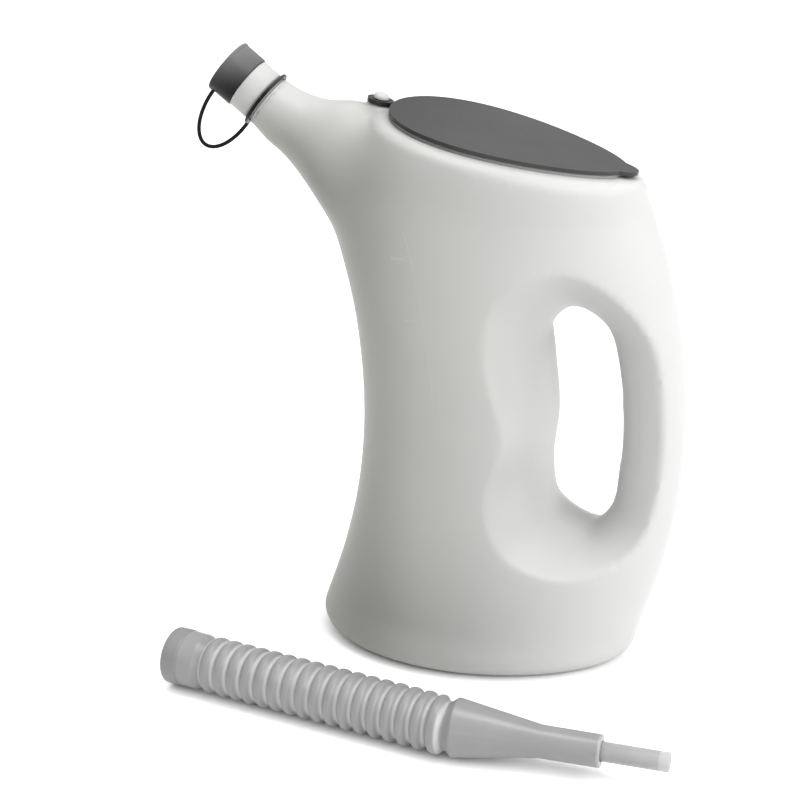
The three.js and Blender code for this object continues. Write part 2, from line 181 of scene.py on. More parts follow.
def turned(outline: Sequence[Pair], steps: int) -> bmesh.types.BMesh:
    """Turns an outline about the X axis.

    Args:
        outline: its corners as distance along the axis and radius; the last joins the first.
        steps: how many faces it has around.

    Returns:
        The turned solid, facing out.
    """
    bm = bmesh.new()
    corners = [bm.verts.new((along, 0.0, radius)) for along, radius in outline]
    edges = [bm.edges.new(pair) for pair in [*itertools.pairwise(corners), (corners[-1], corners[0])]]
    bmesh.ops.spin(
        bm, geom=corners + edges, cent=(0, 0, 0), axis=(1, 0, 0), angle=math.tau, steps=steps, use_merge=True
    )
    bmesh.ops.remove_doubles(bm, verts=bm.verts[:], dist=DOUBLES)
    bmesh.ops.dissolve_degenerate(bm, edges=bm.edges[:], dist=DOUBLES)
    bmesh.ops.recalc_face_normals(bm, faces=bm.faces[:])
    return bm


def mark_painted_light(bm: bmesh.types.BMesh, painted_share: Callable[[float], float]) -> None:
    """Stores on each point how much painted light its colour takes.

    Args:
        bm: the mesh, still in the frame of its turning axis.
        painted_share: gives the share from the distance along the axis.
    """
    layer = bm.verts.layers.float.new(PAINTED_LIGHT_MASK)
    for vertex in bm.verts:
        vertex[layer] = painted_share(vertex.co.x)


def soften(bm: bmesh.types.BMesh, width: float, segments: int = 3, over: float = 28.0) -> None:
    """Rounds every edge that turns sharply.

    Args:
        bm: the mesh.
        width: how far the rounding reaches from the edge.
        segments: how many faces the rounding has.
        over: the turn in degrees above which an edge is rounded.
    """
    sharp = [e for e in bm.edges if len(e.link_faces) == 2 and e.calc_face_angle(0.0) > math.radians(over)]
    bmesh.ops.bevel(
        bm, geom=sharp, offset=width, offset_type="OFFSET", segments=segments,
        profile=0.5, affect="EDGES", material=-1, clamp_overlap=True,
    )


def shade(mesh: bpy.types.Mesh) -> None:
    """Shades a mesh smooth except over its sharp edges."""
    mesh.shade_smooth()
    mesh.set_sharp_from_angle(angle=SHARP_EDGE)


def place_piece(name: str, bm: bmesh.types.BMesh, place: Matrix | None = None) -> bpy.types.Object:
    """Makes an object of a mesh in millimetres.

    Args:
        name: the piece's name.
        bm: its mesh, which is used up.
        place: where its own frame stands in the part's frame, or None if they are the same.

    Returns:
        The object, at the origin, with its place in its mesh.
    """
    bmesh.ops.transform(bm, matrix=Matrix.Scale(MM, 4) @ (place or Matrix.Identity(4)), verts=bm.verts[:])
    mesh = bpy.data.meshes.new(name)
    bm.to_mesh(mesh)
    bm.free()
    shade(mesh)
    made = bpy.data.objects.new(name, mesh)
    bpy.context.scene.collection.objects.link(made)
    return made


def settle(piece: bpy.types.Object, *steps: tuple[str, dict[str, Any]]) -> None:
    """Adds modifiers to a piece and makes their result its mesh.

    Args:
        piece: the piece.
        steps: each modifier's type and settings, in order.
    """
    for kind, settings in steps:
        modifier = piece.modifiers.new(kind.title(), kind)
        for name, value in settings.items():
            setattr(modifier, name, value)
    graph = bpy.context.evaluated_depsgraph_get()
    mesh = bpy.data.meshes.new_from_object(piece.evaluated_get(graph), depsgraph=graph)
    piece.modifiers.clear()
    piece.data = mesh
    mesh.name = piece.name


def combine(piece: bpy.types.Object, tool: bpy.types.Object, operation: str) -> None:
    """Joins a tool to a piece or cuts it away, and removes the tool.

    Args:
        piece: the piece that is changed.
        tool: the other solid.
        operation: UNION or DIFFERENCE.
    """
    settle(piece, ("BOOLEAN", {"object": tool, "operation": operation, "solver": "EXACT"}))
    bpy.data.objects.remove(tool)


# ---------------------------------------------------------------- shader sums
class Term:
    """A shader socket that works in Python sums; each sum adds a Math node."""

    def __init__(self, graph: "Graph", socket: bpy.types.NodeSocket) -> None:
        """Wraps one output socket of a graph."""
        self.graph = graph
        self.socket = socket

    def _math(self, operation: str, first: Any, second: Any) -> "Term":
        """Returns the Math node's result for two values or terms."""
        return self.graph.value("ShaderNodeMath", {"operation": operation}, {0: first, 1: second})

    def __add__(self, other: Any) -> "Term":
        """Returns self + other."""
        return self._math("ADD", self, other)

    def __sub__(self, other: Any) -> "Term":
        """Returns self - other."""
        return self._math("SUBTRACT", self, other)

    def __mul__(self, other: Any) -> "Term":
        """Returns self * other."""
        return self._math("MULTIPLY", self, other)

    def ease(self, low: float, high: float) -> "Term":
        """Eases from 0 to 1 between two values.

        Args:
            low: the value where the result is still 0.
            high: the value where it is 1.

        Returns:
            The eased term.
        """
        settings = {"interpolation_type": "SMOOTHSTEP"}
        inputs = {"Value": self, "From Min": low, "From Max": high}
        return self.graph.value("ShaderNodeMapRange", settings, inputs)


class Graph:
    """One material's node tree."""

    def __init__(self, name: str) -> None:
        """Starts an empty material of that name."""
        self.material = bpy.data.materials.new(name)
        self.material.use_nodes = True
        self.tree = self.material.node_tree
        self.tree.nodes.clear()

    @classmethod
    def of(cls, tree: bpy.types.NodeTree) -> "Graph":
        """Returns a graph over a tree that is already there, emptied."""
        graph = cls.__new__(cls)
        graph.tree = tree
        tree.nodes.clear()
        return graph

    def node(self, kind: str, settings: dict[str, Any], inputs: dict[Any, Any]) -> bpy.types.Node:
        """Adds a node.

        Args:
            kind: its type.
            settings: its properties, which are set first.
            inputs: values or terms for its sockets, by name or number.

        Returns:
            The node.
        """
        made = self.tree.nodes.new(kind)
        for name, value in settings.items():
            setattr(made, name, value)
        for key, value in inputs.items():
            socket = made.inputs[key]
            if isinstance(value, Term):
                self.tree.links.new(value.socket, socket)
            else:
                socket.default_value = value
        return made

    def value(self, kind: str, settings: dict[str, Any], inputs: dict[Any, Any], output: Any = 0) -> Term:
        """Adds a node and returns one of its outputs.

        Args:
            kind: its type.
            settings: its properties.
            inputs: values or terms for its sockets.
            output: the output's name or number.

        Returns:
            The output as a term.
        """
        return Term(self, self.node(kind, settings, inputs).outputs[output])

    def position(self, place: Matrix | None = None) -> Term:
        """Gives the surface point in metres.

        Args:
            place: a frame in millimetres to measure it in, or None for the part's own.

        Returns:
            The point as a vector term.
        """
        point = self.value("ShaderNodeTexCoord", {}, {}, "Object")
        if place is None:
            return point
        back = place.inverted()
        settings = {"vector_type": "POINT"}
        inputs = {
            "Vector": point,
            "Location": back.translation * MM,
            "Rotation": back.to_euler("XYZ"),
            "Scale": (1.0, 1.0, 1.0),
        }
        return self.value("ShaderNodeMapping", settings, inputs)

    def part(self, vector: Term, axis: str) -> Term:
        """Returns one coordinate of a vector term."""
        return self.value("ShaderNodeSeparateXYZ", {}, {"Vector": vector}, axis)

    def fade(self, point: Term, axis: str, span: Pair) -> Term:
        """Eases from 0 to 1 across a stretch of the object.

        Args:
            point: the surface point in metres.
            axis: the axis it is measured on.
            span: where it is 0 and where it is 1, in millimetres.

        Returns:
            The eased share.
        """
        return self.part(point, axis).ease(span[0] * MM, span[1] * MM)

    def noise(self, vector: Term, scale: float, detail: float = 3.0) -> Term:
        """Gives a soft random pattern.

        Args:
            vector: where it is read.
            scale: how many patches there are to a metre.
            detail: how many finer layers it has.

        Returns:
            A term between 0 and 1.
        """
        inputs = {"Vector": vector, "Scale": scale, "Detail": detail, "Roughness": 0.5}
        return self.value("ShaderNodeTexNoise", {"noise_dimensions": "3D"}, inputs, 0)

    def mix(self, share: Any, first: Any, second: Any) -> Term:
        """Mixes two colours.

        Args:
            share: how much of the second colour there is.
            first: the colour or term at 0.
            second: the colour or term at 1.

        Returns:
            The mixed colour.
        """
        colours = {6: first, 7: second}
        made = self.node("ShaderNodeMix", {"data_type": "RGBA", "blend_type": "MIX"}, {0: share, **colours})
        return Term(self, made.outputs[2])

    def bump(self, height: Term, strength: float, distance: float) -> Term:
        """Turns a height into a surface direction.

        Args:
            height: the height term.
            strength: how strongly it shows.
            distance: the height in metres that 1 stands for.

        Returns:
            The direction.
        """
        inputs = {"Height": height, "Strength": strength, "Distance": distance}
        return self.value("ShaderNodeBump", {}, inputs)

    def finish(self, inputs: dict[str, Any]) -> bpy.types.Material:
        """Ends the material in one Principled shader.

        Args:
            inputs: the shader's values and terms.

        Returns:
            The material.
        """
        shader = self.node("ShaderNodeBsdfPrincipled", {}, inputs)
        output = self.tree.nodes.new("ShaderNodeOutputMaterial")
        self.tree.links.new(shader.outputs[0], output.inputs["Surface"])
        return self.material


Colour = tuple[float, float, float, float]


def grey(level: float, warmth: float = 0.0) -> Colour:
    """Returns a linear grey, a little warm above 0 and a little cool below."""
    return (level * (1 + warmth), level, level * (1 - warmth), 1.0)


def milk(level: float) -> Colour:
    """Returns a linear milky grey with a trace of yellow-green."""
    return (level, level * 1.008, level * 0.962, 1.0)


@dataclass(frozen=True)
class NaturalPlastic:
    """Unpigmented moulded polyethylene: milky, satin, with soft flow clouds, and optional painted light and
    painted shade.
    """

    name: str
    light: Colour
    shade: Colour
    roughness: float
    milk: float  # share of light that spreads under the skin
    depth: float  # how far it spreads, in metres
    cloud_scale: float = 14.0
    grain: float = 0.00002
    band: Matrix | None = None  # frame whose X axis a darker end band is measured on
    band_fade: Pair = (0.0, 1.0)  # where the band ends, from its own colour to the body's
    band_colour: Colour = grey(0.3)
    painted_valley_light: Colour | None = None  # painted light: the paler colour where the painted light mask is 1, along the valleys
    painted_light_colour: Colour | None = None  # painted light: paler towards the handle and up the neck
    painted_light_along: Pair = (-40.0, 105.0)
    painted_light_up: Pair = (255.0, 296.0)
    painted_light_up_share: float = 0.55  # how much of the painted light the neck takes beside the handle
    painted_front_shade: Colour | None = None  # painted shade: darker on the spout side, below the neck
    painted_front_shade_along: Pair = (-62.0, -18.0)
    shine: float = 0.5

    def make(self) -> bpy.types.Material:
        """Returns the material."""
        graph = Graph(self.name)
        point = graph.position()
        clouds = graph.noise(point, self.cloud_scale)
        fine = graph.noise(point, 900.0, 2.0)
        colour = graph.mix(clouds.ease(0.3, 0.7), self.light, self.shade)
        # painted light: paler towards the handle side, where the lamps fall, and up the neck
        if self.painted_light_colour is not None:
            along = graph.fade(point, "X", self.painted_light_along)
            up = graph.fade(point, "Z", self.painted_light_up) * self.painted_light_up_share
            colour = graph.mix(along + up - along * up, colour, self.painted_light_colour)
        # painted shade: darker on the spout side, away from the lamps, except up by the neck
        if self.painted_front_shade is not None:
            back = graph.fade(point, "X", self.painted_front_shade_along)
            high = graph.fade(point, "Z", self.painted_light_up)
            colour = graph.mix(back + high - back * high, self.painted_front_shade, colour)
        if self.band is not None:
            past = graph.fade(graph.position(self.band), "X", self.band_fade)
            colour = graph.mix(past, colour, self.band_colour)
        # painted light: paler lines along the bellows' valleys
        if self.painted_valley_light is not None:
            painted_light_share = graph.value("ShaderNodeAttribute", {"attribute_name": PAINTED_LIGHT_MASK}, {}, "Fac")
            colour = graph.mix(painted_light_share, colour, self.painted_valley_light)
        ripple = clouds * 0.6 + fine * 0.4
        return graph.finish(
            {
                "Base Color": colour,
                "Roughness": fine * 0.08 + (self.roughness - 0.04),
                "Normal": graph.bump(ripple, 0.5, self.grain),
                "Subsurface Weight": self.milk,
                "Subsurface Radius": (1.0, 1.0, 0.95),
                "Subsurface Scale": self.depth,
                "Specular IOR Level": self.shine,
                "IOR": 1.5,
            }
        )


@dataclass(frozen=True)
class ClearPlastic:
    """Thin see-through polyethylene of the spout: milky glass with painted light on its cut ends."""

    name: str
    colour: Colour
    roughness: float
    through: float  # share of light that passes
    cut: Colour  # painted light: the paler colour at the cut ends

    def make(self) -> bpy.types.Material:
        """Returns the material."""
        graph = Graph(self.name)
        point = graph.position()
        clouds = graph.noise(point, 60.0)
        fine = graph.noise(point, 700.0, 2.0)
        # painted light: the cut ends are paler
        painted_light_share = graph.value("ShaderNodeAttribute", {"attribute_name": PAINTED_LIGHT_MASK}, {}, "Fac")
        colour = graph.mix(clouds.ease(0.3, 0.7), self.colour, grey(self.colour[1] * 0.92))
        return graph.finish(
            {
                "Base Color": graph.mix(painted_light_share, colour, self.cut),
                "Roughness": fine * 0.1 + (self.roughness - 0.05),
                "Normal": graph.bump(fine, 0.4, 0.00002),
                "Transmission Weight": self.through,
                "IOR": 1.2,
            }
        )


@dataclass(frozen=True)
class DarkPlastic:
    """Grey filled plastic, satin or glossy, with a fine moulded grain and an optional painted shade towards
    one end.
    """

    name: str
    colour: Colour
    roughness: float
    coat: float = 0.0
    shine: float = 0.5
    grain: float = 0.00003
    painted_shade_colour: Colour | None = None  # painted shade: the colour at the low end of the fade
    painted_shade_axis: str = "Z"
    # where the painted shade is full and where it has faded out
    fade: Pair = (0.0, 1.0)

    def make(self) -> bpy.types.Material:
        """Returns the material."""
        graph = Graph(self.name)
        point = graph.position()
        clouds = graph.noise(point, 30.0)
        fine = graph.noise(point, 1600.0, 3.0)
        darker = grey(self.colour[1] * 0.86)
        colour = graph.mix(clouds.ease(0.3, 0.7), self.colour, darker)
        # painted shade towards the low end of the fade
        if self.painted_shade_colour is not None:
            colour = graph.mix(graph.fade(point, self.painted_shade_axis, self.fade), self.painted_shade_colour, colour)
        return graph.finish(
            {
                "Base Color": colour,
                "Roughness": fine * 0.12 + (self.roughness - 0.06),
                "Normal": graph.bump(fine, 0.5, self.grain),
                "Coat Weight": self.coat,
                "Coat Roughness": 0.12,
                "Specular IOR Level": self.shine,
                "IOR": 1.5,
            }
        )


class Slot(Enum):
    """The record's material slots."""

    BODY = "natural_hdpe"
    THIN = "natural_ldpe"
    CLEAR = "clear_ldpe"
    LID = "dark_lid"
    CAP = "dark_cap"
    SEAL = "seal_foam"


@dataclass
class Fittings:
    """Dresses pieces: finish, body and slot."""

    finishes: dict[Slot, bpy.types.Material]

    def dress(self, piece: bpy.types.Object, slot: Slot, body: str, nodes: Sequence[str] = ()) -> None:
        """Gives a finished piece its material, its body and what it stands for.

        Args:
            piece: the piece.
            slot: its finish.
            body: the CAD body it moves with.
            nodes: the CAD nodes it stands for.
        """
        self.paint(piece, slot)
        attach(piece, body)
        if nodes:
            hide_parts(*nodes)

    def paint(self, piece: bpy.types.Object, slot: Slot) -> None:
        """Gives a piece its material and names its slot."""
        piece.data.materials.clear()
        piece.data.materials.append(self.finishes[slot])
        LOG.info("%s: %d faces, %s", piece.name, len(piece.data.polygons), slot.value)


# ---------------------------------------------------------------- shared places
JOINTS = {joint["name"]: joint for joint in frame["joints"]}


def joint_point(name: str) -> Vector:
    """Returns the point a joint turns about, in millimetres."""
    return Vector(JOINTS[name]["pos_m"]) / MM


LID_TILT = math.radians(12.58)
LID_CENTRE = Vector((10.35, 0.0, 275.1))
LID_ALONG = Vector((math.cos(LID_TILT), 0.0, -math.sin(LID_TILT)))
LID_UP = Vector((math.sin(LID_TILT), 0.0, math.cos(LID_TILT)))
LID_HALF_LENGTH = 59.9
LID_HALF_DEPTH = 46.0
LID_TAPER = 0.26
LID_THICKNESS = 1.8
RIM_TOP = 2.1
RIM_HEIGHT = 1.5
PIVOT_OFFSET = 6.5
LID_FRAME = Matrix.Translation(joint_point("lid_swivel")) @ Matrix.Rotation(LID_TILT, 4, "Y")

NECK_END = joint_point("tether_turn")
NECK_ANGLE = math.radians(38.6)
NECK_FRAME = Matrix.Translation(NECK_END) @ Matrix.Rotation(NECK_ANGLE, 4, "Y")
NECK_DOWN = NECK_FRAME.to_3x3() @ Vector((1, 0, 0))
NECK_UP = NECK_FRAME.to_3x3() @ Vector((0, 0, 1))

PITCH = 7.83
CREST_COUNT = 17
SPOUT_TURN = math.radians(-11.43)
FIRST_CREST = Vector((-115.7, -94.7, 14.6))
SPOUT_FRAME = Matrix.Translation(FIRST_CREST) @ Matrix.Rotation(SPOUT_TURN, 4, "Z")
NOZZLE_TURN = math.radians(9.3)
NOZZLE_FRAME = (
    SPOUT_FRAME
    @ Matrix.Translation(((CREST_COUNT - 0.5) * PITCH, 0, 0))
    @ Matrix.Rotation(NOZZLE_TURN, 4, "Z")
)


def by_lid(along: float, below: float) -> Vector:
    """Returns a mid-plane point given along the lid and below its top face."""
    return LID_CENTRE + LID_ALONG * along - LID_UP * below


def egg_point(turn: float, half_length: float, half_depth: float, taper: float, square: float) -> Pair:
    """Finds a point of a rounded section that narrows towards its far end.

    Args:
        turn: where on the outline it lies, in radians.
        half_length: half the section's length.
        half_depth: half its depth at the middle.
        taper: how much it narrows.
        square: 2 for an ellipse, more for boxier.

    Returns:
        The point along and across the section.
    """
    power = 2 / square
    along = math.copysign(abs(math.cos(turn)) ** power, math.cos(turn))
    across = math.copysign(abs(math.sin(turn)) ** power, math.sin(turn))
    return along * half_length, across * half_depth * (1 - taper * along)


# ---------------------------------------------------------------- jug
@dataclass(frozen=True)
class Station:
    """One section of the body: its ends in the mid-plane, half depth, narrowing and squareness."""

    left: Pair
    right: Pair
    depth: float
    taper: float
    square: float


@dataclass(frozen=True)
class Flare:
    """One section across the neck: its reach below and above the axis, and half width."""

    at: float
    below: float
    above: float
    half: float


@dataclass
class Jug:
    """The blow-moulded body with its hollow handle, filler rim and pouring neck."""

    stations: tuple[Station, ...] = (
        Station((-86.2, 12.5), (85, 12.5), 54.9, 0.07, 1.93),
        Station((-73.6, 51), (96.5, 52), 52.5, 0.22, 2.02),
        Station((-64.6, 92), (103.1, 90), 50.5, 0.32, 2.1),
        Station((-61.7, 135), (104.7, 132), 50, 0.35, 2.1),
        Station((-65.1, 178), (100.6, 176), 50.8, 0.34, 2.1),
        Station((-73.5, 215), (91.7, 214), 52, 0.3, 2.1),
        Station((-82, 246), (82.3, 241), 53, 0.27, 2.1),
    )
    foot_fillet: float = 12.5
    wall: float = 2.0
    ledge: float = 5.5
    shoulder: float = 6.5
    shoulder_shift: float = 2.0
    rim_inset: float = 1.6
    rim_width: float = 3.0
    mouth_at: float = 3.4
    mouth_radius: float = 11.4
    mouth_bore: float = 10.1
    collar_radius: float = 13.6
    collar_at: float = 13.1
    groove: Pair = (23.9, 26.5)
    groove_radius: float = 12.9
    shell_from: float = 27.8
    shell_overlap: float = 1.2
    boss_radius: float = 6.4
    boss_depth: float = 14.0
    flares: tuple[Flare, ...] = (
        Flare(20, 13.6, 13.6, 13.6),
        Flare(27.8, 13.6, 13.6, 13.6),
        Flare(30, 13.9, 13.9, 13.9),
        Flare(40, 15.1, 16.2, 16.2),
        Flare(50, 15.8, 20.8, 21.5),
        Flare(61.5, 15.2, 29.8, 31),
        Flare(75, 15.4, 35, 42),
        Flare(94, 20, 36, 49),
    )
    gap: tuple[tuple[Pair, Pair], ...] = (
        ((72.7, 125), (165, 0)),
        ((69.5, 160), (150, 25)),
        ((62, 183), (60, 36)),
        ((46, 192), (4, 34)),
        ((35, 181), (-14, 20)),
        ((36.5, 163), (-19, 8)),
        ((39.3, 133), (-15, 0)),
        ((37.4, 105), (-19, -4)),
        ((42, 82), (-14, -11)),
        ((57, 73), (8, -21)),
        ((68.5, 84), (90, -30)),
        ((71.7, 104), (150, -10)),
    )
    flare_depth: float = 45.0
    gap_levels: tuple[float, ...] = (0, 4, 8, 12, 16, 21, 27, 33, 40, 48, 56, 64)
    voxel: float = 1.9
    sides: int = 144
    rows: int = 44

    def _between(self, left: Vector, right: Vector, depth: float, taper: float, square: float) -> Place:
        """Gives the placing function of a section.

        Args:
            left: its spout-side end.
            right: its handle-side end.
            depth: its half depth.
            taper: how much it narrows towards the handle.
            square: how boxy it is.

        Returns:
            The placing function.
        """
        middle, half = (left + right) / 2, (right - left).length / 2
        direction = (right - left).normalized()

        def place(turn: float) -> Vector:
            """Returns the section's point at a turn."""
            along, across = egg_point(turn, half, depth, taper, square)
            point = middle + direction * along
            point.y = across
            return point

        return place

    def _rim(self, grow: float, below: float, shift: float = 0.0) -> Place:
        """Gives a section parallel to the lid.

        Args:
            grow: how far it stands out from the filler rim.
            below: how far it lies under the lid's top face.
            shift: how far it is moved towards the handle.

        Returns:
            The placing function.
        """
        half = LID_HALF_LENGTH - self.rim_inset + grow
        depth = LID_HALF_DEPTH - self.rim_inset + grow
        return self._between(by_lid(shift - half, below), by_lid(shift + half, below), depth, LID_TAPER, 2)

    def _neck(self, flare: Flare) -> Place:
        """Returns the placing function of a section across the neck."""
        centre = NECK_END + NECK_DOWN * flare.at

        def place(turn: float) -> Vector:
            """Returns the section's point at a turn."""
            reach = flare.above if math.sin(turn) > 0 else flare.below
            point = centre + NECK_UP * (math.sin(turn) * reach)
            point.y = math.cos(turn) * flare.half
            return point

        return place

    def _body(self) -> bmesh.types.BMesh:
        """Returns the body from the foot to the shoulder as one solid."""
        left = Spline(tuple(upright(s.left) for s in self.stations))
        right = Spline(tuple(upright(s.right) for s in self.stations))
        shape = Spline(tuple(Vector((s.depth, s.taper, s.square)) for s in self.stations))
        foot, places = self.stations[0], []
        fillet_steps = 8
        for step in range(fillet_steps):
            turn = step / fillet_steps * math.pi / 2
            inset = self.foot_fillet * (1 - math.sin(turn))
            rise = self.foot_fillet * (1 - math.cos(turn))
            ends = [Vector((x, 0.0, rise)) for x in (foot.left[0] + inset, foot.right[0] - inset)]
            places.append(self._between(*ends, foot.depth - inset, foot.taper, foot.square))
        for step in range(self.rows + 1):
            share = step / self.rows
            places.append(self._between(left.at(share), right.at(share), *shape.at(share)))
        corner_steps = 6
        for step in range(corner_steps + 1):
            turn = step / corner_steps * math.pi / 2
            grow = self.ledge + self.shoulder * math.cos(turn)
            below = RIM_TOP + RIM_HEIGHT + self.shoulder * (1 - math.sin(turn))
            places.append(self._rim(grow, below, self.shoulder_shift))
        return loft(places, self.sides)

    def _neck_solid(self) -> bmesh.types.BMesh:
        """Returns the neck's flare as one solid."""
        at = Spline(tuple(Vector((f.at, f.below, f.above)) for f in self.flares))
        half = Spline(tuple(Vector((f.at, f.half, 0.0)) for f in self.flares))
        rows = 4 * len(self.flares)
        places = []
        for step in range(rows + 1):
            share = step / rows
            along, below, above = at.at(share)
            places.append(self._neck(Flare(along, below, above, half.at(share).y)))
        return loft(places, 96)

    def _handle_cutter(self) -> bmesh.types.BMesh:
        """Returns the solid that is cut away for the hand."""
        outline = Spline(tuple(upright(at) for at, _ in self.gap), closed=True)
        flare = Spline(tuple(upright(out) for _, out in self.gap), closed=True)

        def level(y: float) -> Place:
            """Returns the placing function of the gap's outline at a depth."""
            spread = (y / self.flare_depth) ** 2

            def place(turn: float) -> Vector:
                """Returns the outline's point at a turn."""
                share = turn / math.tau
                point = outline.at(share) + flare.at(share) * spread
                point.y = y
                return point

            return place

        depths = [*reversed(self.gap_levels), *(-y for y in self.gap_levels[1:])]
        return loft([level(y) for y in depths], 120)

    def _smoothing(self, shell: bpy.types.Object) -> None:
        """Weighs each point by how strongly the flow from waist to neck is smoothed."""
        group = shell.vertex_groups.new(name="flow")
        for vertex in shell.data.vertices:
            point = vertex.co / MM
            reach = point - NECK_END
            along, up = reach.dot(NECK_DOWN), reach.dot(NECK_UP)
            below = (LID_CENTRE - point).dot(LID_UP)
            weight = smoothstep(38, 52, along) * smoothstep(150, 112, along) * smoothstep(6, 16, below)
            weight *= smoothstep(-70, -50, up)
            if weight > 0:
                group.add([vertex.index], weight, "REPLACE")

    def _open(self, shell: bpy.types.Object) -> None:
        """Cuts the shell open under the filler rim and at the neck."""
        bm = bmesh.new()
        bm.from_mesh(shell.data)
        plane = (NECK_END + NECK_DOWN * self.shell_from) * MM
        bmesh.ops.bisect_plane(
            bm, geom=bm.verts[:] + bm.edges[:] + bm.faces[:], dist=1e-6, plane_co=plane, plane_no=NECK_DOWN,
            clear_inner=True,
        )
        grow = -self.rim_width / 2 - self.rim_inset
        length, depth = LID_HALF_LENGTH + grow, LID_HALF_DEPTH + grow
        ledge = RIM_TOP + RIM_HEIGHT
        inside = []
        for face in bm.faces:
            point = face.calc_center_median() / MM
            reach = point - LID_CENTRE
            if abs(-reach.dot(LID_UP) - ledge) > 2.5:
                continue
            along = reach.dot(LID_ALONG) / length
            if along**2 + (point.y / (depth * (1 - LID_TAPER * along))) ** 2 < 1:
                inside.append(face)
        bmesh.ops.delete(bm, geom=inside, context="FACES")
        bm.to_mesh(shell.data)
        bm.free()

    def shell(self) -> bpy.types.Object:
        """Returns the thin-walled body, smooth from foot to neck."""
        shell = place_piece("jug_shell", self._body())
        combine(shell, place_piece("neck_tool", self._neck_solid()), "UNION")
        depth, radius = self.boss_depth, self.boss_radius
        boss = turned([(0, 0), (0, radius), (depth, radius), (depth, 0)], 32)
        down = LID_FRAME @ Matrix.Translation((0, 0, -RIM_TOP)) @ Matrix.Rotation(math.pi / 2, 4, "Y")
        combine(shell, place_piece("boss_tool", boss, down), "UNION")
        combine(shell, place_piece("gap_tool", self._handle_cutter()), "DIFFERENCE")
        settle(shell, ("REMESH", {"mode": "VOXEL", "voxel_size": self.voxel * MM, "use_smooth_shade": True}))
        self._smoothing(shell)
        settle(
            shell,
            ("SMOOTH", {"factor": 0.5, "iterations": 3}),
            ("SMOOTH", {"factor": 0.5, "iterations": 240, "vertex_group": "flow"}),
        )
        self._open(shell)
        settle(shell, ("SOLIDIFY", {"thickness": self.wall * MM, "offset": -1.0, "use_even_offset": False}))
        return shell

    def filler_rim(self) -> bpy.types.Object:
        """Returns the low wall round the filler opening."""
        top, foot = RIM_TOP, RIM_TOP + 7
        outline = [(0, foot), (0, top + 0.6), (-0.6, top), (-self.rim_width + 0.6, top)]
        outline += [(-self.rim_width, top + 0.6), (-self.rim_width, foot)]
        bm = bmesh.new()
        rings = [ring(bm, 120, self._rim(grow, below)) for grow, below in outline]
        for here, there in zip(rings, [*rings[1:], rings[0]]):
            bmesh.ops.bridge_loops(bm, edges=here + there)
        bmesh.ops.recalc_face_normals(bm, faces=bm.faces[:])
        return place_piece("filler_rim", bm)

    def neck_finish(self) -> bpy.types.Object:
        """Returns the neck's mouth, collar and groove."""
        step = 0.5
        bore = self.mouth_bore
        outline = [
            (self.mouth_at, bore),
            (self.mouth_at, self.mouth_radius - step),
            (self.mouth_at + step, self.mouth_radius),
            (self.collar_at - step, self.mouth_radius),
            (self.collar_at, self.collar_radius - 0.2),
            (self.collar_at + step, self.collar_radius),
            (self.groove[0] - step, self.collar_radius),
            (self.groove[0], self.groove_radius),
            (self.groove[1], self.groove_radius),
            (self.groove[1] + step, self.collar_radius),
            (self.shell_from + self.shell_overlap, self.collar_radius),
            (self.shell_from + self.shell_overlap, bore),
        ]
        bm = turned(outline, 72)
        soften(bm, 0.25, 2)
        return place_piece("neck_finish", bm, NECK_FRAME)

    def build(self, fittings: Fittings) -> None:
        """Builds and dresses the jug.

        Args:
            fittings: what dresses the pieces.
        """
        shell = self.shell()
        fittings.dress(shell, Slot.BODY, "jug", ["jug_body"])
        fittings.dress(self.filler_rim(), Slot.BODY, "jug")
        fittings.dress(self.neck_finish(), Slot.BODY, "jug", ["neck_mouth"])
        Scale(shell, raised_finish()).build(fittings)


